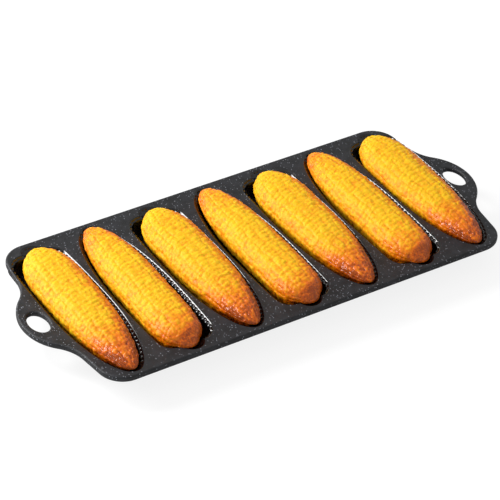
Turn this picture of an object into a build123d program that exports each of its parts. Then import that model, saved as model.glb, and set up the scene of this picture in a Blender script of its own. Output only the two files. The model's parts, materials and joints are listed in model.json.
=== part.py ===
from build123d import *
from math import radians, sqrt, tan
import os

# Cast iron corn stick pan with seven baked corn sticks lying in it.
# Millimetres. +X runs along the pan, +Y across it to the far long edge, +Z up.
# The origin is under the middle of the pan, on the surface that it stands on.

# --- driving dimensions -------------------------------------------------------

# plate
overall_length = 340.0        # over both handles
plate_width = 144.0
plate_thickness = 4.0
end_lean = 7.0                # degrees that each end leans out towards its handle
corner_radius = 17.0
plate_edge_radius = 1.3       # cast edges are rounded above and below

# handles, one at each end
handle_radius = 34.3
handle_reach = 13.7           # past the end of the plate
neck_radius = 26.6            # hollow curve between a handle and the end of the plate
hole_from_tip = 10.9          # from a handle's tip to the middle of its finger hole
hole_width = 13.6             # along X
hole_length = 21.6            # along Y
hole_edge_radius = 0.9

# cavities, each shaped like half a corn cob
cavity_count = 7
end_margin = 6.8              # plate left between the outer cavities and the ends
side_margin = 5.0             # plate left between each cavity and the long edges
rib_width = 4.8               # plate left between the widest places of two cavities
taper_length = 72.0           # from the pointed tip to the widest place
shoulder_narrowing = 1.9      # from the widest place to the shoulder, on each side
shoulder_corner = 9.5
stub_radius = 6.5             # round stub at the thick end
draft_rise = 2.0              # the cob's axis lies this far above the plate, for draft
mouth_edge_radius = 0.8
wall_thickness = 3.0          # of the shell under each cavity
rest_flat_depth = 0.5         # taken off the lowest line of each shell, to stand on

# corn sticks, each a whole ear that rests on the floor of its cavity
stick_side_gap = 2.5          # to the wall of the cavity on each side, and at both ends
stick_seat_gap = 0.6          # under its widest place; half of that near its tip
stick_crown_height = 10.8     # of the upper half, which rises less than the lower half sinks

# --- places worked out from them ----------------------------------------------

half_width = plate_width / 2
end_half_length = overall_length / 2 - handle_reach
corner_half_length = end_half_length - half_width * tan(radians(end_lean))
handle_x = overall_length / 2 - handle_radius
hole_x = overall_length / 2 - hole_from_tip

# a fillet takes at most this share of the room that it has
fillet_share = 0.9

# a neck curve ends before the rounded corner begins
neck_room = half_width - corner_radius
handle_inset = handle_radius - handle_reach - neck_room * tan(radians(end_lean))
neck_spread = neck_room**2 - handle_radius**2 + handle_inset**2
widest_neck = fillet_share * neck_spread / (2 * (handle_radius - handle_inset))

# the cavities and the ribs between them share what the margins leave of the plate
cavity_pitch = (2 * (end_half_length - end_margin) + rib_width) / cavity_count
cavity_radius = (cavity_pitch - rib_width) / 2
cavity_length = plate_width - 2 * side_margin
cavity_tip = -cavity_length / 2
cavity_end = cavity_length / 2
pan_height = cavity_radius + wall_thickness - draft_rise - rest_flat_depth
cob_axis_height = pan_height + draft_rise
cavity_floor_height = cob_axis_height - cavity_radius

stick_radius = cavity_radius - stick_side_gap
stick_axis_height = cavity_floor_height + stick_seat_gap + stick_radius

# a cubic Bezier curve follows a quarter of an ellipse when it is pulled out this far
quarter_ellipse_pull = 0.5523

# the cavities stand side by side and point to opposite long edges by turns
first_cavity_x = -(cavity_count - 1) / 2 * cavity_pitch
cavity_places = [
    Location((first_cavity_x + n * cavity_pitch, 0, 0), (0, 0, 180 * (n % 2)))
    for n in range(cavity_count)
]


def cob(grown):
    """Solid cob along Y, tip towards -Y, round its axis, the Y axis.

    It has the shape of a cavity with the wall moved outwards by grown.
    """
    tip = cavity_tip - grown
    end = cavity_end + grown
    radius = cavity_radius + grown
    widest = cavity_tip + taper_length
    shoulder = cavity_end - stub_radius + grown
    shoulder_radius = radius - shoulder_narrowing
    # the stub is a ball round a centre that stays where it is
    ball_radius = stub_radius + grown
    stub_root = sqrt(ball_radius**2 - grown**2)
    widest_corner = fillet_share * (shoulder_radius - stub_root)
    with BuildPart() as whole_cob:
        with BuildSketch() as outline:
            with BuildLine():
                Bezier(
                    (0, tip),
                    (quarter_ellipse_pull * radius, tip),
                    (radius, widest - quarter_ellipse_pull * (widest - tip)),
                    (radius, widest),
                )
                # the body is a shallow arc from the widest place to the shoulder
                Bezier(
                    (radius, widest),
                    (radius, widest + (shoulder - widest) / 3),
                    (shoulder_radius + shoulder_narrowing * 2 / 3, shoulder - (shoulder - widest) / 3),
                    (shoulder_radius, shoulder),
                )
                Line((shoulder_radius, shoulder), (stub_root, shoulder))
                RadiusArc((stub_root, shoulder), (0, end), -ball_radius)
                Line((0, end), (0, tip))
            make_face()
            near_shoulder = outline.vertices().sort_by_distance((shoulder_radius, shoulder))
            fillet(near_shoulder[0], min(shoulder_corner + grown, widest_corner))
        revolve(axis=Axis.Y)
    return whole_cob.part


# --- the casting ----------------------------------------------------------------

cavity_form = Pos(Z=cob_axis_height) * cob(0)
shell_form = Pos(Z=cob_axis_height) * cob(wall_thickness)

with BuildPart() as pan_casting:
    # plate with its two handles
    with BuildSketch(Plane.XY.offset(pan_height - plate_thickness)) as plate:
        with BuildLine():
            Polyline(
                (corner_half_length, half_width),
                (end_half_length, 0),
                (corner_half_length, -half_width),
                (-corner_half_length, -half_width),
                (-end_half_length, 0),
                (-corner_half_length, half_width),
                close=True,
            )
        make_face()
        with Locations((handle_x, 0), (-handle_x, 0)):
            Circle(handle_radius)
        corners = plate.vertices().filter_by(lambda v: abs(v.Y) > half_width - 1)
        fillet(corners, corner_radius)
        necks = plate.vertices().filter_by(lambda v: 1 < abs(v.Y) < half_width - corner_radius - 5)
        fillet(necks, min(neck_radius, widest_neck))
        with Locations((hole_x, 0), (-hole_x, 0)):
            Ellipse(hole_width / 2, hole_length / 2, mode=Mode.SUBTRACT)
    extrude(amount=plate_thickness)
    flat_edges = pan_casting.edges().filter_by(Plane.XY)
    fillet(flat_edges.filter_by(GeomType.ELLIPSE, reverse=True), plate_edge_radius)
    fillet(pan_casting.edges().filter_by(GeomType.ELLIPSE), hole_edge_radius)

    # shells under the cavities
    with Locations(*cavity_places):
        add(shell_form)
    split(bisect_by=Plane.XY.offset(pan_height), keep=Keep.BOTTOM)

    # the cavities themselves
    with Locations(*cavity_places):
        add(cavity_form, mode=Mode.SUBTRACT)
    plate_face = pan_casting.faces().filter_by(Plane.XY).sort_by(Axis.Z)[-1]
    for opening in plate_face.inner_wires():
        if opening.length > cavity_length:
            fillet(opening.edges(), mouth_edge_radius)

    # narrow flats along the lowest lines of the shells
    split(bisect_by=Plane.XY, keep=Keep.TOP)

pan_casting.part.label = "pan_casting"

# --- a corn stick ---------------------------------------------------------------

stick_form = cob(-stick_side_gap)

with BuildPart() as stick_crown:
    add(stick_form)
    split(bisect_by=Plane.XY, keep=Keep.TOP)
    scale(by=(1, 1, stick_crown_height / stick_radius))

with BuildPart() as corn_stick:
    add(stick_form)
    split(bisect_by=Plane.XY, keep=Keep.BOTTOM)
    add(stick_crown.part)

# --- files ----------------------------------------------------------------------

os.makedirs("parts", exist_ok=True)
export_step(pan_casting.part, "parts/pan_casting.step")

for number, place in enumerate(cavity_places, start=1):
    placed_stick = place * Pos(Z=stick_axis_height) * corn_stick.part
    placed_stick.label = f"corn_stick_{number}"
    export_step(placed_stick, f"parts/corn_stick_{number}.step")

print("pan height", round(pan_height, 2), "mm, stick radius", round(stick_radius, 2), "mm")
print("casting volume", round(pan_casting.part.volume / 1000, 1), "cm3")
print("stick volume", round(corn_stick.part.volume / 1000, 1), "cm3")
print("casting box", pan_casting.part.bounding_box())
print("stick box", corn_stick.part.bounding_box())
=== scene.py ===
# %% Load the frame
import json
from math import acos, atan2, cos, pi, radians, sin, sqrt

import bmesh
import bpy
import numpy as np
from mathutils import Matrix, Vector, noise

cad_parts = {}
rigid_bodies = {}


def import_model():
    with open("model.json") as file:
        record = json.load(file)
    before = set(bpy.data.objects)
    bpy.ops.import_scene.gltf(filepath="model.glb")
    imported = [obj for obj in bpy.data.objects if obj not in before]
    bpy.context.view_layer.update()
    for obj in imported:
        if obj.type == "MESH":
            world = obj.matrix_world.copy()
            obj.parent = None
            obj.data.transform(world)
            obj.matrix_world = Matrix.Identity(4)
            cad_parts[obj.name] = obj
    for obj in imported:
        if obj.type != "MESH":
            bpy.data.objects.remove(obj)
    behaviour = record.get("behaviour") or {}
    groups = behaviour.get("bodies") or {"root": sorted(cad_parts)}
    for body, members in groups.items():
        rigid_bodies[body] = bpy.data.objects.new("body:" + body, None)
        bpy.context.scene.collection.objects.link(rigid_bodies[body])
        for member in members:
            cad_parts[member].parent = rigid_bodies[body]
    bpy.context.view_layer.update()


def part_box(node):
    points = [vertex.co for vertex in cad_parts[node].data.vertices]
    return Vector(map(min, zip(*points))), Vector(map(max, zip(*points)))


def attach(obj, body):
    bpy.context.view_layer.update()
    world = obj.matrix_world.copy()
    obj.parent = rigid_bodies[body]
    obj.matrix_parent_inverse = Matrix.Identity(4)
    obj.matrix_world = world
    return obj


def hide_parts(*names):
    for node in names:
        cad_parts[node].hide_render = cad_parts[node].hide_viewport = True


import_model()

# %% [markdown]
# # A cast iron corn stick pan with its corn sticks
# The real pan is one iron casting: a flat plate with two holed handles and seven hollows, each
# shaped like half a corn cob. Seven baked corn sticks lie in it. The construction model has
# these eight things as plain solids. This lesson builds their finished surfaces round it: iron
# with a kernel-shaped relief in its hollows, and crusty bread with rows of kernels.
# All sizes below are in millimetres, because that is how a pan is measured. Blender works in
# metres, so every mesh is multiplied by `MM` once, when it is made.

# %% Units and a few sizes of the real pan
MM = 0.001

pan_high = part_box("pan_casting")[1] / MM
stick_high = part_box("corn_stick_1")[1] / MM

plate_top = pan_high.z
plate_thickness = 4.0
half_length = pan_high.x            # over the handles
half_width = pan_high.y
cavity_count = 7
cavity_pitch = 43.4
cavity_radius = 19.3
cavity_tip = -67.0                  # the pointed end of a cavity, along Y
cavity_end = 67.0
cob_axis_height = plate_top + 2.0   # the cavities are a little shallower than half a cob

print("plate top at", round(plate_top, 2), "mm, sticks up to", round(stick_high.z, 2), "mm")

# %% [markdown]
# ## Helpers for meshes
# A mesh in Blender is a list of points and a list of faces that name those points by number.
# Everything in this scene is made of grids: rows of points, each row joined to the next by
# four-sided faces. So one helper joins rows, and one turns points and faces into an object.
# Shapes and colours both change gradually in places, and `fade_in` is the number that does it.

# %% Grids and objects
def grid_faces(rows, columns, closed=False):
    """Four-sided faces between neighbouring rows; closed joins the last column to the first."""
    first = np.arange(rows * columns).reshape(rows, columns)
    after = np.roll(first, -1, axis=1) if closed else first[:, 1:]
    here = first if closed else first[:, :-1]
    quads = np.stack([here[:-1], after[:-1], after[1:], here[1:]], axis=-1)
    return quads.reshape(-1, 4).tolist()


def new_object(name, points, faces, material):
    """A Blender object from points in millimetres and faces."""
    mesh = bpy.data.meshes.new(name)
    mesh.from_pydata((np.asarray(points) * MM).tolist(), [], faces)
    made = bpy.data.objects.new(name, mesh)
    bpy.context.scene.collection.objects.link(made)
    mesh.materials.append(material)
    return made


def clean(made, merge_distance=0.002):
    """Merges points that lie on each other, turns all faces outwards and counts the open edges."""
    work = bmesh.new()
    work.from_mesh(made.data)
    if merge_distance:
        bmesh.ops.remove_doubles(work, verts=work.verts, dist=merge_distance * MM)
        bmesh.ops.dissolve_degenerate(work, edges=work.edges, dist=merge_distance * MM)
    bmesh.ops.recalc_face_normals(work, faces=work.faces)
    open_edges = sum(not edge.is_manifold for edge in work.edges)
    work.to_mesh(made.data)
    work.free()
    return open_edges


def even_steps(line, step):
    """Points about step apart on a line of (across, along) pairs, and how far along each one is."""
    line = np.asarray(line, float)
    lengths = np.r_[0, np.cumsum(np.hypot(*np.diff(line, axis=0).T))]
    count = max(2, round(lengths[-1] / step) + 1)
    places = np.linspace(0, lengths[-1], count)
    return np.stack([np.interp(places, lengths, axis) for axis in line.T], axis=-1), places


def fade_in(value, start, length):
    """0 up to start, 1 from start + length on, and a straight change between."""
    return np.clip((value - start) / length, 0, 1)


# %% [markdown]
# ## Helpers for materials
# A material is a small network of nodes. Paint charts and web pages give colours as sRGB hex
# values, while the renderer counts light, so each colour goes through one function that turns
# hex into linear light. A second function adds a node, gives it its settings and connects it.
# The small functions after it are the steps that come back in every material, so that a
# material reads like a recipe.

# %% Colours and nodes
def colour(hex_value):
    """Linear red, green, blue and alpha from an sRGB hex value such as "#f8c81e"."""
    parts = [int(hex_value[i:i + 2], 16) / 255 for i in (1, 3, 5)]
    return (*(p / 12.92 if p <= 0.04045 else ((p + 0.055) / 1.055) ** 2.4 for p in parts), 1)


def add_node(tree, kind, inputs=None, **settings):
    """Adds a node. inputs maps a socket's name or number to a value or to another node's output."""
    node = tree.nodes.new(kind)
    for name, value in settings.items():
        setattr(node, name, value)
    for socket, value in (inputs or {}).items():
        if isinstance(value, bpy.types.NodeSocket):
            tree.links.new(value, node.inputs[socket])
        else:
            node.inputs[socket].default_value = value
    return node


def new_material(name):
    """An empty material with its node tree and its output node."""
    material = bpy.data.materials.new(name)
    material.use_nodes = True
    tree = material.node_tree
    tree.nodes.clear()
    return material, tree, add_node(tree, "ShaderNodeOutputMaterial")


def ramp(tree, factor, stops):
    """A colour ramp: stops are (place, hex colour) pairs."""
    node = add_node(tree, "ShaderNodeValToRGB", {"Fac": factor})
    elements = node.color_ramp.elements
    while len(elements) < len(stops):
        elements.new(0.5)
    for element, (place, hex_value) in zip(elements, stops):
        element.position = place
        element.color = colour(hex_value)
    return node.outputs["Color"]


def noise_pattern(tree, place, size, detail, roughness):
    """Noise with features about size across."""
    return add_node(tree, "ShaderNodeTexNoise", {"Vector": place, "Scale": 1 / size, "Detail": detail,
                                                 "Roughness": roughness}).outputs["Fac"]


def calculate(tree, operation, first, second, **settings):
    """One step of arithmetic on two numbers."""
    return add_node(tree, "ShaderNodeMath", {0: first, 1: second}, operation=operation,
                    **settings).outputs[0]


def rescale(tree, value, old, new):
    """Stretches a number from the range old to the range new, and stops at its ends."""
    return add_node(tree, "ShaderNodeMapRange",
                    {"Value": value, "From Min": old[0], "From Max": old[1],
                     "To Min": new[0], "To Max": new[1]}).outputs["Result"]


def mix_colours(tree, factor, first, second):
    """A mix of two colours: sockets 6 and 7 take them and output 2 gives the result."""
    return add_node(tree, "ShaderNodeMix", {"Factor": factor, 6: first, 7: second},
                    data_type="RGBA").outputs[2]


# %% [markdown]
# ## Seasoned cast iron
# A cast iron pan is poured into a sand mould, so its skin keeps the print of the sand: small
# soft pits about half a millimetre across. Seasoning is oil baked on until it is hard, a thin
# dark film over the iron. That film, not bare metal, is what the eye meets, so the material is
# near black with the index of hardened oil. It is fairly matt on the flat plate, with painted
# glints: a few grains get a pale fleck in their colour. It is smooth and glossy in the hollows,
# where its index is a little higher to strengthen the glints.
# The sand's print is the bump; the plate could also be displaced, but the pits are far
# too small to change its outline.

# %% Iron material
SAND_GRAIN = 0.55 * MM     # pits left by the sand
SKIN_WAVE = 7.0 * MM       # slow waviness of a cast surface
# painted glints: pale flecks in the iron's colour, about this far apart, and their colour
GLINT_SPACING = 1.8 * SAND_GRAIN
GLINT_PAINT_COLOUR = "#d0d4e0"


def seasoned_iron(name, film, film_light, roughness, grain_depth, painted_glint_share, film_ior=1.48):
    """Cast iron under baked oil.

    film and film_light are the range of its colour, grain_depth is in millimetres, and one number
    gives the share of the grains that get a painted glint, a pale fleck in the colour.
    """
    material, tree, output = new_material(name)
    place = add_node(tree, "ShaderNodeTexCoord").outputs["Object"]
    grain = noise_pattern(tree, place, SAND_GRAIN, detail=3.0, roughness=0.6)
    wave = noise_pattern(tree, place, SKIN_WAVE, detail=2.0, roughness=0.5)
    tone = calculate(tree, "MULTIPLY", grain, wave)
    base = ramp(tree, tone, [(0.15, film), (0.42, film_light)])
    # a few grains get a painted glint: a pale fleck mixed into the colour, bright under any lamp
    glint_cells = add_node(tree, "ShaderNodeTexVoronoi",
                     {"Vector": place, "Scale": 1 / GLINT_SPACING, "Randomness": 1.0})
    near_glint = rescale(tree, glint_cells.outputs["Distance"], (0.08, 0.30), (1.0, 0.0))
    chosen = add_node(tree, "ShaderNodeSeparateColor", {"Color": glint_cells.outputs["Color"]})
    is_chosen = calculate(tree, "GREATER_THAN", chosen.outputs["Red"], 1 - painted_glint_share)
    painted_glint = calculate(tree, "MULTIPLY", near_glint, is_chosen)
    mixed = mix_colours(tree, painted_glint, base, colour(GLINT_PAINT_COLOUR))
    rough = rescale(tree, grain, (0.3, 0.7), (roughness - 0.08, roughness + 0.10))
    grain_bump = add_node(tree, "ShaderNodeBump",
                          {"Height": grain, "Distance": grain_depth * MM, "Strength": 1.0})
    bump = add_node(tree, "ShaderNodeBump",
                    {"Height": wave, "Distance": 0.25 * MM, "Strength": 0.6,
                     "Normal": grain_bump.outputs["Normal"]})
    shader = add_node(tree, "ShaderNodeBsdfPrincipled",
                      {"Base Color": mixed, "Roughness": rough, "IOR": film_ior,
                       "Normal": bump.outputs["Normal"]})
    tree.links.new(shader.outputs[0], output.inputs["Surface"])
    return material


plate_iron = seasoned_iron("seasoned_iron_plate", "#0c0d0f", "#292a2f",
                           roughness=0.50, grain_depth=0.24, painted_glint_share=0.22)
cavity_iron = seasoned_iron("seasoned_iron_cavity", "#060606", "#101011",
                            roughness=0.12, grain_depth=0.01, painted_glint_share=0.0, film_ior=1.6)
print("iron materials:", plate_iron.name, cavity_iron.name)

# %% [markdown]
# ## The outline of the casting
# Seen from above, the plate is a rectangle whose ends lean out a little towards two round
# handles. Every corner is an arc, so the outline is written as a chain of arcs in one quarter
# and mirrored: a quarter of the handle's circle, the hollow neck, and the rounded corner. The
# straight runs between arcs come by themselves when the points are joined.
# Each point also keeps the direction that points straight out of the plate. It is
# needed to round the edges over.

# %% Outline of arcs
handle_radius = 34.3
neck_radius = 26.6
corner_radius = 17.0
end_lean = radians(7.0)
handle_reach = 13.7               # of a handle past the end of the plate
hole_from_tip = 10.9
hole_half_sizes = (6.3, 10.0)


def arc(centre, radius, start, stop, count, hollow=False):
    """Points on an arc with their outward directions, as rows of x, y, out x, out y."""
    turn = np.linspace(start, stop, count)
    way = np.stack([np.cos(turn), np.sin(turn)], axis=-1)
    return np.hstack([np.array(centre) + radius * way, -way if hollow else way])


def plate_outline():
    """The whole outline, anticlockwise from the tip of the right handle."""
    handle = np.array([half_length - handle_radius, 0.0])
    out = np.array([cos(end_lean), sin(end_lean)])
    end_reach = (half_length - handle_reach) * out[0]      # from the origin to the end's line
    # the neck's circle touches both the handle's circle and the end's line
    neck_turn = end_lean + acos((end_reach + neck_radius - handle @ out) / (handle_radius + neck_radius))
    neck = handle + (handle_radius + neck_radius) * np.array([cos(neck_turn), sin(neck_turn)])
    corner_y = half_width - corner_radius
    corner = np.array([(end_reach - corner_radius - corner_y * out[1]) / out[0], corner_y])
    quarter = np.vstack([
        arc(handle, handle_radius, 0, neck_turn, 26),
        arc(neck, neck_radius, neck_turn + pi, end_lean + pi, 22, hollow=True),
        arc(corner, corner_radius, end_lean, pi / 2, 22),
    ])
    left = quarter[::-1] * [-1, 1, -1, 1]
    # points on the long straight side, so that no flat face is wider than half a cavity
    side = np.array([[k * cavity_pitch / 2, half_width, 0, 1]
                     for k in range(cavity_count - 1, -cavity_count, -1)])
    upper = np.vstack([quarter, side, left])
    lower = upper[::-1] * [1, -1, 1, -1]
    return np.vstack([upper[:-1], lower[:-1]])


def hole_outline(count=72):
    """The rim of a finger hole round its own middle; its outward direction points into the hole."""
    turn = np.linspace(0, 2 * pi, count, endpoint=False)
    a, b = hole_half_sizes
    points = np.stack([a * np.cos(turn), b * np.sin(turn)], axis=-1)
    way = np.stack([b * np.cos(turn), a * np.sin(turn)], axis=-1)
    return np.hstack([points, -way / np.linalg.norm(way, axis=1, keepdims=True)])


outline = plate_outline()
print("outline:", len(outline), "points,", round(np.ptp(outline[:, 0]), 1), "by",
      round(np.ptp(outline[:, 1]), 1), "mm")

# %% [markdown]
# ## The plate with its rounded edges
# Molten iron leaves no sharp edge, and on the real pan the rounded rim is what draws the thin
# line of light round the handles. A bevel modifier could round the edges. Here the rounding is
# part of the grid instead: the outline is repeated at several heights, each copy drawn in
# by what a quarter circle asks for. The outline is the same on both sides of the X axis, so the
# flat faces can be laid across it like the rungs of a ladder. The finger holes are cut later.

# %% Plate solid
PLATE_EDGE = 1.3            # radius of the rounded edges
HOLE_EDGE = 1.5
EDGE_STEPS = 5
CUTTER_OVERSHOOT = 2.0      # how far the hole cutter sticks out of the plate


def edge_levels(edge_radius, overshoot=0.0):
    """(inset, height) pairs up a wall with rounded edges; overshoot lengthens it both ways."""
    turn = np.linspace(0, pi / 2, EDGE_STEPS)
    bottom = plate_top - plate_thickness
    inset = edge_radius * (1 - np.sin(turn))
    rise = edge_radius * (1 - np.cos(turn))
    levels = [*zip(inset, bottom + rise), *zip(inset[::-1], plate_top - rise[::-1])]
    if overshoot:
        levels = [(inset[0], bottom - overshoot), *levels, (inset[0], plate_top + overshoot)]
    return levels


def rim_solid(name, rim, levels):
    """A closed solid between copies of a rim, each drawn in by its inset; both flats are ladders."""
    wall = np.array([
        np.column_stack([rim[:, :2] - inset * rim[:, 2:], np.full(len(rim), height)])
        for inset, height in levels
    ])
    count, top_row = len(rim), (len(levels) - 1) * len(rim)
    faces = grid_faces(*wall.shape[:2], closed=True)
    for i in range(count // 2):
        rung = [i, i + 1, count - i - 1, (count - i) % count]
        rung = list(dict.fromkeys(rung))
        faces += [rung[::-1], [top_row + corner for corner in rung]]
    solid = new_object(name, wall.reshape(-1, 3), faces, plate_iron)
    return solid, clean(solid)


pan, plate_open = rim_solid("plate", outline, edge_levels(PLATE_EDGE))
hole_x = half_length - hole_from_tip
hole_cutter, hole_open = rim_solid("hole", hole_outline(), edge_levels(HOLE_EDGE, CUTTER_OVERSHOOT))
print("plate:", len(pan.data.polygons), "faces, open edges:", plate_open, "and", hole_open)

# %% [markdown]
# ## The shape of a cob
# Each hollow, the iron shell under it and the bread in it follow the same line: a long pointed
# nose, a nearly straight body, a rounded shoulder and a small round stub. Turning that line
# about its axis gives the cob. The line is drawn once, with a number that moves it outwards for
# the shell.

# %% Profile of a cob
WALL = 2.3                  # of the shell
taper_length = 72.0
shoulder_narrowing = 1.9
shoulder_corner = 9.5
stub_radius = 6.5


def cob_profile(grown):
    """Points (radius, y) from the tip to the end of the stub, moved outwards by grown."""
    radius = cavity_radius + grown
    tip, end = cavity_tip - grown, cavity_end + grown
    widest = cavity_tip + taper_length
    shoulder = cavity_end - stub_radius + grown
    nose = np.linspace(0, pi / 2, 60)[:-1]
    line = [(radius * sin(t), widest - (widest - tip) * cos(t)) for t in nose]
    # the body is one long shallow arc, and the shoulder's corner a small one inside it
    run = shoulder - widest
    body_radius = (shoulder_narrowing**2 + run**2) / (2 * shoulder_narrowing)
    body_x = radius - body_radius
    ball = stub_radius + grown
    stub_root = sqrt(ball**2 - grown**2)
    corner = min(shoulder_corner + grown, 0.9 * (radius - shoulder_narrowing - stub_root))
    corner_y = shoulder - corner
    corner_x = body_x + sqrt((body_radius - corner) ** 2 - (corner_y - widest) ** 2)
    meets = atan2(corner_y - widest, corner_x - body_x)
    line += [(body_x + body_radius * cos(t), widest + body_radius * sin(t))
             for t in np.linspace(0, meets, 24)]
    line += [(corner_x + corner * cos(t), corner_y + corner * sin(t))
             for t in np.linspace(meets, pi / 2, 10)[1:]]
    root_turn = atan2(grown, stub_root)
    line += [(ball * cos(t), end - ball + ball * sin(t))
             for t in np.linspace(root_turn, pi / 2, 16)]
    return np.array(line)


print("cob profile:", len(cob_profile(0)), "points, from", cob_profile(0)[0].round(1), "to",
      cob_profile(0)[-1].round(1))

# %% [markdown]
# ## Kernels
# On this cob the kernels stand in eighteen rows, each kernel nearly twice as wide as it is long,
# with neighbouring rows set half a kernel apart. A relief function says how high the surface stands
# at each place: 1 on top of a kernel and 0 in the grooves. A picture texture could do this, but
# a function works at any scale and gives real shape to the mesh. Real rows wander, so
# sine waves and a small random number for each kernel bend the pattern a little.

# %% Kernel relief
KERNEL_ROWS = 18
KERNEL_LENGTH = 3.7
ROW_TURN = 360 / KERNEL_ROWS
FIRST_GROOVE = 7.5          # where the first row begins, in degrees
SIDE_GROOVE = 0.45          # depth of the grooves between rows, as part of the relief
CROSS_GROOVE = 0.5          # and of the grooves between the kernels of one row
LUCK_DEPTH = 0.3            # how much lower a kernel can stand by chance
dice = np.random.default_rng(7)
KERNEL_LUCK = dice.random((KERNEL_ROWS, 64))


def kernels(turn, along, seed=0):
    """Relief from 0 to 1, and a random number for each kernel.

    turn is the angle round the cob in degrees and along the distance from its tip in millimetres.
    """
    across = (turn - FIRST_GROOVE) / ROW_TURN
    across = across + 0.10 * np.sin(along / 7.0 + seed) + 0.05 * np.sin(along / 2.3 + turn / 9)
    row = np.floor(across)
    p = 2 * (across - row) - 1                  # from -1 to 1 across a kernel
    row = (row % KERNEL_ROWS).astype(int)
    places = along / KERNEL_LENGTH + 0.5 * (row % 2) + 0.22 * p
    places = places + 0.22 * np.sin(along / 9.0 + 2.1 * row + seed) + 0.10 * np.sin(turn / 4.1 + along)
    places = places + 0.14 * np.sin(turn / 6.1 + along / 1.9 + 4 * row)
    cell = np.floor(places)
    q = 2 * (places - cell) - 1                 # and along it
    luck = KERNEL_LUCK[row, (cell.astype(int) + 5 * seed) % KERNEL_LUCK.shape[1]]
    beside = 1 - (1 - np.abs(p) ** 2.4) ** 0.6
    between = 1 - (1 - np.abs(q) ** 2.0) ** 0.6
    return np.clip(1 - SIDE_GROOVE * beside - CROSS_GROOVE * between - LUCK_DEPTH * luck, 0, 1), luck


# %% [markdown]
# ## Hollows and shells
# Only the part of the cob below the plate matters, so each row of points runs from one rim,
# down round the cob and up to the other rim. Near the rim the points are pushed outwards. On the
# shell they follow a quarter circle, the soft fillet where the shell leaves the plate. On the
# hollow they follow a slope, as at the mouth on the casting, with a row of small round dents on
# it, and below it lie the dimples of the kernels. Every solid is closed with a flat lid, because
# the next step joins and cuts solids, and that only works with closed ones.

# %% Trough solids
RIM_STEPS = np.array([0.01, 0.05, 0.13, 0.25, 0.38, 0.5, 0.62, 0.75, 1.0])  # of the way down the rim
SHELL_FILLET = 0.6
MOUTH_SLOPE = 1.8           # width and depth of the hollow's sloping mouth
LIP = 0.3                   # the slope's top edge spreads this much more
LIP_DEPTH = 0.4
DIMPLE_DEPTH = 0.9
DIMPLES_END = 60.0          # along Y: the stub has no dimples
DENT_HALF_LENGTH = 1.2      # of the round dents
DENT_MIDDLE = 0.7           # how far down the slope they lie, as part of its depth
DENT_HALF_HEIGHT = 0.34


def trough(name, grown, step, columns, fillet, mouth, lid, relief_depth, material):
    """The lower part of a cob as a closed solid: it opens at height mouth and is closed at lid."""
    rise = cob_axis_height - mouth
    profile, _ = even_steps(cob_profile(grown), 0.05)
    inside = np.nonzero(profile[:, 0] > rise + 0.04)[0]
    profile, along = even_steps(profile[inside[0]:inside[-1] + 1], step)
    slope = np.gradient(profile, axis=0)
    slope /= np.linalg.norm(slope, axis=1, keepdims=True)
    rows = []
    for (radius, y), (slope_r, slope_y), far in zip(profile, slope, along):
        out_r, out_y = slope_y, -slope_r
        room = max(radius - rise, 0)
        depth = RIM_STEPS * min(fillet, 0.6 * room)
        side = np.arccos(np.clip((rise + depth) / radius, -1, 1))
        inner = side[-1] * np.linspace(1, -1, 2 * columns + 1)[1:-1]
        turn = np.concatenate([side, inner, -side[::-1]])
        x, z = radius * np.sin(turn), -radius * np.cos(turn)
        down = np.maximum(-z - rise, 0)
        if relief_depth:
            top, _ = kernels(np.degrees(turn) + 180, np.full(len(turn), far + 2))
            fade = fade_in(down - fillet, 0.3, 0.6) * fade_in(DIMPLES_END - y, 0, 3)
            beside = ((far / KERNEL_LENGTH) % 1 - 0.5) * KERNEL_LENGTH
            below = (down - DENT_MIDDLE * fillet) / (DENT_HALF_HEIGHT * fillet)
            dent = np.sqrt(np.maximum(1 - (beside / DENT_HALF_LENGTH) ** 2 - below**2, 0))
            pushed = relief_depth * (top * fade + dent)
            x = x + pushed * out_r * np.sin(turn)
            z = z - pushed * out_r * np.cos(turn)
            y = y + pushed * out_y
        flat = np.stack([out_r * np.sin(turn), np.full(len(turn), out_y)], axis=-1)
        flat /= np.maximum(np.linalg.norm(flat, axis=1, keepdims=True), 1e-9)
        short = np.maximum(fillet - down, 0)
        if relief_depth:
            push = short + LIP * np.clip(1 - down / LIP_DEPTH, 0, 1) ** 2
        else:
            push = fillet - np.sqrt(fillet**2 - short**2)
        x = x + push * flat[:, 0]
        along_y = y + push * flat[:, 1]
        row = np.stack([x, along_y, z + cob_axis_height], axis=-1)
        row[:, 2] = np.maximum(row[:, 2], 0)
        ends = row[[0, -1]].copy()
        ends[:, 2] = lid
        rows.append(np.vstack([ends[:1], row, ends[1:]]))
    grid = np.array(rows)
    # beside the stub the widened mouths of two rows would cross, so no row falls behind the last
    grid[:, :, 1] = np.maximum.accumulate(grid[:, :, 1], axis=0)
    count = grid.shape[1]
    faces = grid_faces(*grid.shape[:2], closed=True)
    faces += [list(range(count))[::-1], list(range(len(grid) * count - count, len(grid) * count))]
    solid = new_object(name, grid.reshape(-1, 3), faces, material)
    return solid, clean(solid, 0)


shell, shell_open = trough("shell", grown=WALL, step=2.2, columns=14, fillet=SHELL_FILLET,
                           mouth=plate_top - plate_thickness, lid=plate_top - plate_thickness / 2,
                           relief_depth=0, material=plate_iron)
hollow, hollow_open = trough("hollow", grown=0.0, step=0.7, columns=13, fillet=MOUTH_SLOPE,
                             mouth=plate_top, lid=plate_top + 3, relief_depth=DIMPLE_DEPTH,
                             material=cavity_iron)
print("shell faces:", len(shell.data.polygons), "open edges:", shell_open)
print("hollow faces:", len(hollow.data.polygons), "open edges:", hollow_open)

# %% [markdown]
# ## One casting
# A boolean modifier can add one closed solid to another or cut it away. Seven shells are added to
# the plate and seven hollows cut from it, each turned end for end from its neighbour, as
# on the real pan. The hollows carry their own material, so the cut faces keep the smoother iron.

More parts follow.
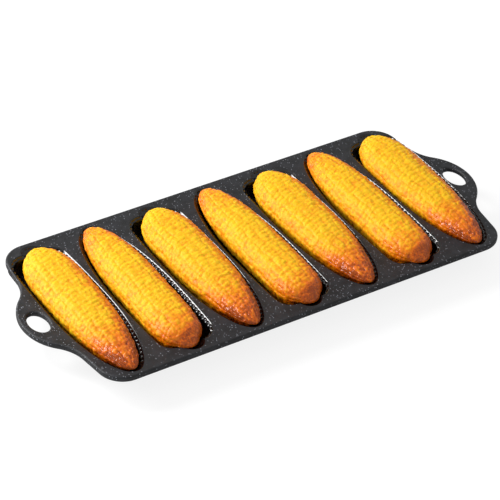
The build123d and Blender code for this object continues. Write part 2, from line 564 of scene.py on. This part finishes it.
# %% Join and cut
HOLLOW_SHIFT = 0.8          # the sand core sat a little to the right
MERGE_AFTER_CUT = 0.004     # points closer than this become one


def moved(x):
    """A place x millimetres along X."""
    return Matrix.Translation((x * MM, 0, 0))


def cavity_matrix(number):
    """Where cavity number (from 0) stands."""
    x = (number - (cavity_count - 1) / 2) * cavity_pitch
    return moved(x) @ Matrix.Rotation(pi * (number % 2), 4, "Z")


def combine(target, tool, operation, places):
    """Adds tool to target or cuts it away, once at each place."""
    tools = bpy.data.collections.new("tools")
    bpy.context.scene.collection.children.link(tools)
    for place in places:
        modifier = target.modifiers.new("step", "BOOLEAN")
        modifier.operation = operation
        modifier.solver = "MANIFOLD"
        modifier.material_mode = "TRANSFER"
        modifier.object = bpy.data.objects.new("tool", tool.data)
        modifier.object.matrix_world = place
        tools.objects.link(modifier.object)
    bpy.context.view_layer.update()
    evaluated = target.evaluated_get(bpy.context.evaluated_depsgraph_get())
    done = bpy.data.meshes.new_from_object(evaluated)
    target.modifiers.clear()
    target.data = done
    for spent in [*tools.objects, tool]:
        bpy.data.objects.remove(spent)
    bpy.data.collections.remove(tools)


cavity_places = [cavity_matrix(number) for number in range(cavity_count)]
combine(pan, hole_cutter, "DIFFERENCE", [moved(x) for x in (-hole_x, hole_x)])
combine(pan, shell, "UNION", cavity_places)
combine(pan, hollow, "DIFFERENCE", [moved(HOLLOW_SHIFT) @ place for place in cavity_places])
pan.name = pan.data.name = "pan_iron"
loose = clean(pan, MERGE_AFTER_CUT)

work = bmesh.new()
work.from_mesh(pan.data)
print("casting:", len(work.faces), "faces,", round(work.calc_volume() / MM**3 / 1000, 1),
      "cm3, open edges:", loose)
work.free()

# %% [markdown]
# ## Shading
# Smooth shading hides the edges between small faces, but on a large flat face it draws dark
# streaks. Booleans also leave points a hair above or below a flat. So those points are put back on
# the flat first, sharp edges are marked, and then every level face is shaded flat. The order
# matters, because marking sharp edges sets all faces to smooth.

# %% Smooth shading that keeps the flats flat
FLAT_SNAP = 0.006           # points this near to a flat belong to it
LEVEL = 0.001               # a face that rises less than this is level
SHARP_ANGLE = radians(40)

heights = np.array([vertex.co.z for vertex in pan.data.vertices]) / MM
for flat in (0, plate_top - plate_thickness, plate_top):
    heights[abs(heights - flat) < FLAT_SNAP] = flat
for vertex, height in zip(pan.data.vertices, heights):
    vertex.co.z = height * MM
pan.data.set_sharp_from_angle(angle=SHARP_ANGLE)
for face in pan.data.polygons:
    face.use_smooth = bool(np.ptp(heights[list(face.vertices)]) > LEVEL)
print("flat faces:", sum(not face.use_smooth for face in pan.data.polygons))

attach(pan, "pan")
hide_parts("pan_casting")

# %% [markdown]
# ## Baked cornbread
# The crust of a corn stick is golden on top and browns at its thin tips. The front ends are darker,
# partly browning and partly painted shade, and painted shade darkens the flanks, most of all on
# the right, away from the lamp. Each point of the mesh carries two numbers that the stick's code
# writes, how brown and shaded it is and how deep in a groove it lies. The material adds crumbs and
# blotches of noise and turns the sum into colour, with a darker set of colours for the grooves as
# painted shade. Bread lets light in a little, so there is some subsurface light. Where the first
# number is high the crust is glossier, with a thin coat of fat over it, as where it has fried in fat.

# %% Cornbread material
CRUMB = 1.3 * MM
CRUMB_DEPTH = 0.4 * MM
LIGHT_DEPTH = 0.0012        # how far light goes into the bread, in metres
# crust colours from golden to dark brown; the darker end also serves as painted shade
CRUST_AND_SHADE_COLOURS = [(0.0, "#ffc60a"), (0.2, "#ffb406"), (0.4, "#fb9802"), (0.6, "#f28402"),
                 (0.8, "#e66c00"), (1.0, "#a84802")]
# darker colours for the grooves between kernels: painted shade
GROOVE_SHADE_COLOURS = [(0.0, "#ff9c00"), (0.3, "#f48400"), (0.6, "#dc6600"), (1.0, "#8a3400")]


def cornbread_crust():
    """Baked crust, coloured by the mesh's own numbers for browning with painted shade and for groove
    depth, which gets painted shade.
    """
    material, tree, output = new_material("baked_cornbread_crust")
    place = add_node(tree, "ShaderNodeTexCoord").outputs["Object"]
    brown_and_shade = add_node(tree, "ShaderNodeAttribute", attribute_name="browning_and_shade").outputs["Fac"]
    groove = add_node(tree, "ShaderNodeAttribute", attribute_name="groove").outputs["Fac"]
    crumb = noise_pattern(tree, place, CRUMB, detail=4.0, roughness=0.6)
    blotch = noise_pattern(tree, place, 4 * CRUMB, detail=3.0, roughness=0.65)
    blotches = rescale(tree, blotch, (0.3, 0.7), (-0.10, 0.10))
    speckle = rescale(tree, crumb, (0.3, 0.7), (-0.12, 0.14))
    spread = calculate(tree, "ADD", blotches, speckle)
    level = calculate(tree, "ADD", brown_and_shade, spread, use_clamp=True)
    on_top = ramp(tree, level, CRUST_AND_SHADE_COLOURS)
    # painted shade in the grooves, the deeper the darker
    groove_shade = ramp(tree, level, GROOVE_SHADE_COLOURS)
    groove_shade_amount = rescale(tree, groove, (0.25, 1.0), (0.0, 0.5))
    base = mix_colours(tree, groove_shade_amount, on_top, groove_shade)
    rough = rescale(tree, brown_and_shade, (0.2, 0.8), (0.55, 0.2))
    fat = rescale(tree, brown_and_shade, (0.45, 0.85), (0.0, 0.35))
    bump = add_node(tree, "ShaderNodeBump",
                    {"Height": crumb, "Distance": CRUMB_DEPTH, "Strength": 1.0}).outputs["Normal"]
    shader = add_node(tree, "ShaderNodeBsdfPrincipled",
                      {"Base Color": base, "Roughness": rough, "IOR": 1.38, "Normal": bump,
                       "Coat Weight": fat, "Coat Roughness": 0.12, "Coat IOR": 1.47,
                       "Coat Normal": bump, "Subsurface Weight": 0.3,
                       "Subsurface Scale": LIGHT_DEPTH, "Subsurface Radius": (1.0, 0.5, 0.15)})
    tree.links.new(shader.outputs[0], output.inputs["Surface"])
    return material


crust = cornbread_crust()
print("bread material:", crust.name)

# %% [markdown]
# ## Corn sticks
# A baked stick is a whole ear lying in its hollow. Its section is half round below the plate
# and a lower crown above it. The nose is pointed; the butt is rounder than the iron's
# shoulder, so it leaves the corners of the hollow dark. The sticks with their butt towards the
# front also show the bare end of the cob, a smooth dome, brown with painted shade.
# Each is a closed grid, row by row from tip to butt, with the kernel relief pressed
# into it, small lumps of crumb swelling out of it, and the browning with its painted shade
# written as it is made.

# %% Widths of a stick
CROWN_HEIGHT = 10.7
PLAIN_ENDS = (-66.5, 59.5)  # tip and butt of a stick that points to the front, along its own Y
PLAIN_WIDEST = 12.0
PLAIN_HALF_WIDTH = 18.0
DOMED_ENDS = (-65.2, 66.0)  # the others go on to the bare end of the cob
DOMED_HALF_WIDTH = 16.4
DOME_HALF_WIDTH = 10.5
DOME_CROWN = 7.5


def half_ellipse(y, middle, end, power=2.0):
    """1 at middle, falling to 0 at end along an ellipse, and 1 on the other side of middle."""
    t = np.clip((y - middle) / (end - middle), 0, 1)
    return np.maximum(1 - t**power, 0) ** (1 / power)


def blend_max(first, second):
    """The larger of two numbers, with a rounded change from one to the other."""
    return (first**7 + second**7) ** (1 / 7)


def stick_widths(y, with_dome):
    """Half width and crown height of a stick at y, in its own frame, tip at -Y."""
    if with_dome:
        nose = np.sqrt(1 - np.clip(y / DOMED_ENDS[0], 0, 1) ** 2.4)
        butt = half_ellipse(y, 30.0, 61.2, 3.2)
        width, crown = DOMED_HALF_WIDTH * nose * butt, CROWN_HEIGHT * nose**0.9 * butt
        dome = half_ellipse(y, 52.0, DOMED_ENDS[1]) * fade_in(y, 40, 5)
        return blend_max(width, DOME_HALF_WIDTH * dome), blend_max(crown, DOME_CROWN * dome)
    nose = half_ellipse(y, PLAIN_WIDEST, PLAIN_ENDS[0])
    width = PLAIN_HALF_WIDTH * nose * half_ellipse(y, 30.0, PLAIN_ENDS[1])
    return width, CROWN_HEIGHT * nose**0.9 * half_ellipse(y, 28.0, 60.0, 3.0)


for with_dome in (False, True):
    print("widest half width:", stick_widths(np.linspace(-60, 60, 121), with_dome)[0].max().round(1), "mm")

# %% [markdown]
# ## Lumps, browning and painted shade
# Two more rules cover the whole stick. Lumps are smooth noise in space, so they don't follow the
# kernels. Browning and painted shade add up several things: the front end is browner, partly from
# baking and partly as painted shade, since it faces away from the lamp. The flanks carry painted
# shade, above all the right one. Kernels that stand low and hollows between lumps get a little
# painted shade, darker than what stands out. The far tip of a turned stick browns, and the bare
# end of the cob is brown all over, partly crust colour and partly painted shade.

# %% Lumps, browning and painted shade
LUMP = 2.3                  # crumbs that swell out of the crust
LUMP_HEIGHT = 0.42
# the bare end of the cob: partly its crust colour, partly painted shade
DOME_BROWN_AND_SHADE = 0.9


def lumps_at(x, y, z):
    """Smooth noise, from about -1 to 1, at each point of a grid."""
    places = np.stack(np.broadcast_arrays(x, y, z), axis=-1).reshape(-1, 3) / LUMP
    return np.array([noise.noise(Vector(place)) for place in places]).reshape(x.shape)


def browning_and_shade(front, right, luck, lumps, on_dome, with_dome):
    """How brown the crust is with its painted shade, from 0 to 1.

    front is how far a place lies towards -Y from the middle of the pan, in millimetres, and
    right how far towards +X on the stick, from -1 to 1.
    """
    # the front end faces away from the lamp: browner there, partly from baking and partly as painted shade
    if with_dome:
        front_brown_and_shade = 0.2 * fade_in(front, 24, 20) + 0.3 * fade_in(front, 42, 18)
        far_tip = 0.42 * fade_in(-front, 30, 30)
    else:
        front_brown_and_shade = 0.85 * fade_in(front, 20, 36) ** 1.2
        far_tip = 0
    # painted shade on the flanks, heaviest on the right, away from the lamp, lighter on the down-turned
    # left edge
    flank_shade = 0.75 * fade_in(right, 0.40, 0.40) + 0.24 * fade_in(-right, 0.62, 0.3)
    brown_and_shade = front_brown_and_shade + flank_shade * (0.75 + 0.5 * front_brown_and_shade) + far_tip
    # low kernels and hollows between lumps get a little painted shade
    brown_and_shade = brown_and_shade + 0.2 * (luck - 0.5) - 0.25 * lumps
    # the bare end of the cob is brown, partly crust colour and partly painted shade
    return np.clip(brown_and_shade + (DOME_BROWN_AND_SHADE - brown_and_shade) * on_dome, 0, 1)


print("brown at the front of a plain stick:", browning_and_shade(60.0, 0.0, 0.5, 0.0, 0.0, False))

# %% [markdown]
# ## The seven sticks
# Every second stick is turned end for end with its cavity, so its own -Y points to the back. The
# number `facing` is -1 for those, and it turns distances on the stick into distances on the pan.

# %% Stick shape
KERNEL_DEPTH = 0.95
ROWS_APART = 0.64
POINTS_ABOVE, POINTS_BELOW = 100, 50        # round one row, above and below the plate
SEAT_INSET = 2.5                            # the underside's line inside the hollow's
SEAT_GAP = 0.3
SQUARENESS = 2 / 2.3                        # above the plate the section is squarer than an ellipse
DOME_SMOOTHNESS = 0.7                       # how much of the relief the bare end loses
stick_level = plate_top + 0.1
# how each stick lies: sideways shift of its middle, and how much more at each millimetre to +Y
LIE = ((0.4, 0.012), (-0.6, 0.022), (1.0, 0.002), (0.9, 0.006), (0.6, 0.0), (-0.1, 0.006), (-0.8, -0.002))


def rounded(way, above):
    """A cosine or sine round the section, made squarer where above is true."""
    return np.sign(way) * np.abs(way) ** np.where(above, SQUARENESS, 1)


def close_ends(mesh):
    """Fills the two open ends of a tube. The faces of these tubes point inwards, a known fault."""
    work = bmesh.new()
    work.from_mesh(mesh)
    bmesh.ops.holes_fill(work, edges=[e for e in work.edges if e.is_boundary], sides=0)
    work.to_mesh(mesh)
    work.free()


def corn_stick(name, number):
    """One baked stick, with the numbers browning and groove at each of its points."""
    with_dome = number % 2 == 1
    facing = -1 if with_dome else 1
    tip, end = DOMED_ENDS if with_dome else PLAIN_ENDS
    y = tip + (end - tip) * (1 - np.cos(np.linspace(0, pi, 900))) / 2
    width, _ = stick_widths(y, with_dome)
    line, along = even_steps(np.stack([width, y], axis=-1), ROWS_APART)
    y = line[:, 1]
    width, crown = stick_widths(y, with_dome)
    seat = np.interp(y, *cob_profile(-SEAT_INSET).T[::-1], left=0, right=0)
    depth = np.maximum(np.minimum(seat, width) - SEAT_GAP, 0.02)
    turn = np.concatenate([np.linspace(0, 180, POINTS_ABOVE, endpoint=False),
                           np.linspace(180, 360, POINTS_BELOW, endpoint=False)])
    t = np.radians(turn)
    across = rounded(np.cos(t), np.sin(t) > 0)
    up = rounded(np.sin(t), np.sin(t) > 0)
    tall = np.where(up[None, :] > 0, crown[:, None], depth[:, None])
    # below the plate the stick is a little narrower, which keeps most of it clear of the iron
    x = width[:, None] * across * (1 - 0.07 * np.clip(-3 * up, 0, 1))
    z = tall * up
    top, luck = kernels(np.broadcast_to(turn, x.shape), np.broadcast_to(along[:, None], x.shape), number)
    on_dome = np.clip((y[:, None] - 53.5 - 5.0 * across[None, :]) / 6.0, 0, 1) * with_dome
    on_dome = on_dome**2 * (3 - 2 * on_dome)
    small = np.clip(width / 7.0, 0.15, 1)[:, None]          # the relief shrinks towards the ends
    lumps = lumps_at(x, y[:, None], z + 40 * number)
    pressed = KERNEL_DEPTH * (1 - top) * small - LUMP_HEIGHT * lumps * small
    pressed = pressed * (1 - DOME_SMOOTHNESS * on_dome)
    out = np.stack([across / np.maximum(width[:, None], 1), up / np.maximum(tall, 1)], axis=-1)
    out /= np.maximum(np.linalg.norm(out, axis=-1, keepdims=True), 1e-6)
    x = x - pressed * out[..., 0]
    z = z - pressed * out[..., 1]
    shift, turned = LIE[number]
    x = x + facing * (shift + turned * facing * y[:, None])
    points = np.stack([x, np.broadcast_to(y[:, None], x.shape), z + stick_level], axis=-1)
    made = new_object(name, points.reshape(-1, 3), grid_faces(*x.shape, closed=True), crust)
    close_ends(made.data)
    # the browning number holds painted shade too, and the material turns the groove number into painted
    # shade in the grooves
    values = {
        "browning_and_shade": browning_and_shade(-y[:, None] * facing, across[None, :] * facing, luck, lumps, on_dome,
                             with_dome),
        "groove": (1 - top) * (1 - on_dome),
    }
    for key, value in values.items():
        layer = made.data.attributes.new(key, "FLOAT", "POINT")
        layer.data.foreach_set("value", np.broadcast_to(value, x.shape).astype(np.float32).ravel())
    made.data.transform(cavity_matrix(number))
    for face in made.data.polygons:
        face.use_smooth = True
    return made


for number in range(cavity_count):
    stick = corn_stick(f"cornbread_{number + 1}", number)
    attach(stick, f"stick_{number + 1}")
    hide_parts(f"corn_stick_{number + 1}")
    print(stick.name, len(stick.data.polygons), "faces")

# %% [markdown]
# ## Floor, light and camera
# The pan stands in a plain white studio. The floor must look white without a grey patch where
# little light falls, so to the camera it glows, while to all other rays it is plain pale paper.

# %% Floor
FLOOR_HALF = 3000.0


def white_floor():
    """A floor that glows for the camera and only reflects for everything else."""
    material, tree, output = new_material("white_studio_floor")
    paper = add_node(tree, "ShaderNodeBsdfDiffuse", {"Color": colour("#d9d9d9")})
    shown = add_node(tree, "ShaderNodeBsdfDiffuse", {"Color": colour("#808080")})
    glow = add_node(tree, "ShaderNodeEmission", {"Color": colour("#ffffff"), "Strength": 0.84})
    seen = add_node(tree, "ShaderNodeAddShader", {0: shown.outputs[0], 1: glow.outputs[0]})
    is_camera = add_node(tree, "ShaderNodeLightPath").outputs["Is Camera Ray"]
    mix = add_node(tree, "ShaderNodeMixShader", {0: is_camera, 1: paper.outputs[0], 2: seen.outputs[0]})
    tree.links.new(mix.outputs[0], output.inputs["Surface"])
    return material


floor_corners = [(x * FLOOR_HALF, y * FLOOR_HALF, 0) for x, y in ((-1, -1), (1, -1), (1, 1), (-1, 1))]
floor = new_object("floor", floor_corners, [[0, 1, 2, 3]], white_floor())
print("floor:", 2 * FLOOR_HALF * MM, "m wide")

# %% [markdown]
# ## Light
# One long lamp stands at the back on the left, low at one end and high at the other. It gives the
# sticks their bright side and the hollows their glints. A pale surround fills the rest. A lamp's
# power has to grow with its area to keep its brightness, so `soft_box` takes the brightness.

# %% Light
FILL = 0.50
KEY_ENDS = ((-0.76, 0.56, 0.32), (-0.34, 0.58, 0.74))       # directions, seen from the pan

world = bpy.data.worlds.new("studio")
world.use_nodes = True
bpy.context.scene.world = world
sky = world.node_tree
sky.nodes.clear()
path = add_node(sky, "ShaderNodeLightPath")
seen_by_eye = calculate(sky, "MAXIMUM", path.outputs["Is Camera Ray"],
                        path.outputs["Is Transmission Ray"])
fill = add_node(sky, "ShaderNodeBackground", {"Color": colour("#ffffff"), "Strength": FILL})
white = add_node(sky, "ShaderNodeBackground", {"Color": colour("#ffffff"), "Strength": 1.0})
mixed = add_node(sky, "ShaderNodeMixShader", {0: seen_by_eye, 1: fill.outputs[0], 2: white.outputs[0]})
add_node(sky, "ShaderNodeOutputWorld", {"Surface": mixed.outputs[0]})


def soft_box(name, first, last, distance, width, radiance):
    """A long lamp that faces the middle of the pan, from direction first to direction last."""
    first, last = Vector(first).normalized(), Vector(last).normalized()
    way = (first + last).normalized()
    length = (last - first).length * distance
    data = bpy.data.lights.new(name, "AREA")
    data.shape, data.size, data.size_y = "RECTANGLE", length, width
    data.energy = radiance * pi * width * length
    lamp = bpy.data.objects.new(name, data)
    long_side = (last - first).normalized()
    turned = Matrix((long_side, way.cross(long_side), way)).transposed().to_4x4()
    lamp.matrix_world = Matrix.Translation(way * distance) @ turned
    bpy.context.scene.collection.objects.link(lamp)
    print("lamp:", name, round(length, 2), "by", width, "m,", round(data.energy), "W")


soft_box("key", *KEY_ENDS, distance=1.3, width=0.40, radiance=20)

# %% [markdown]
# ## Camera
# The camera looks down from the front left through a long lens, and is rolled a little. Three
# directions at right angles, its side, its top and its back, make up its matrix.

# %% Camera
CAMERA_TURN = radians(-35.79)
CAMERA_RISE = radians(37.88)
CAMERA_ROLL = radians(4.55)
CAMERA_DISTANCE = 1669.0
FOCAL_IN_IMAGE_WIDTHS = 5.222
SENSOR_WIDTH = 36.0
aim = Vector((-5.6, -2.04, 19.8))

back = Vector((sin(CAMERA_TURN) * cos(CAMERA_RISE), -cos(CAMERA_TURN) * cos(CAMERA_RISE),
               sin(CAMERA_RISE)))
right = (-back).cross(Vector((0, 0, 1))).normalized()
up = right.cross(-back)
side = right * cos(CAMERA_ROLL) + up * sin(CAMERA_ROLL)
top = up * cos(CAMERA_ROLL) - right * sin(CAMERA_ROLL)
camera_data = bpy.data.cameras.new("camera")
camera_data.sensor_width = SENSOR_WIDTH
camera_data.lens = SENSOR_WIDTH * FOCAL_IN_IMAGE_WIDTHS
camera_data.clip_start, camera_data.clip_end = 0.05, 50
camera = bpy.data.objects.new("camera", camera_data)
turned = Matrix((side, top, back)).transposed().to_4x4()
camera.matrix_world = Matrix.Translation((aim + back * CAMERA_DISTANCE) * MM) @ turned
bpy.context.scene.collection.objects.link(camera)
bpy.context.scene.camera = camera
bpy.context.scene.view_settings.view_transform = "Standard"
print("lens:", round(camera_data.lens), "mm")
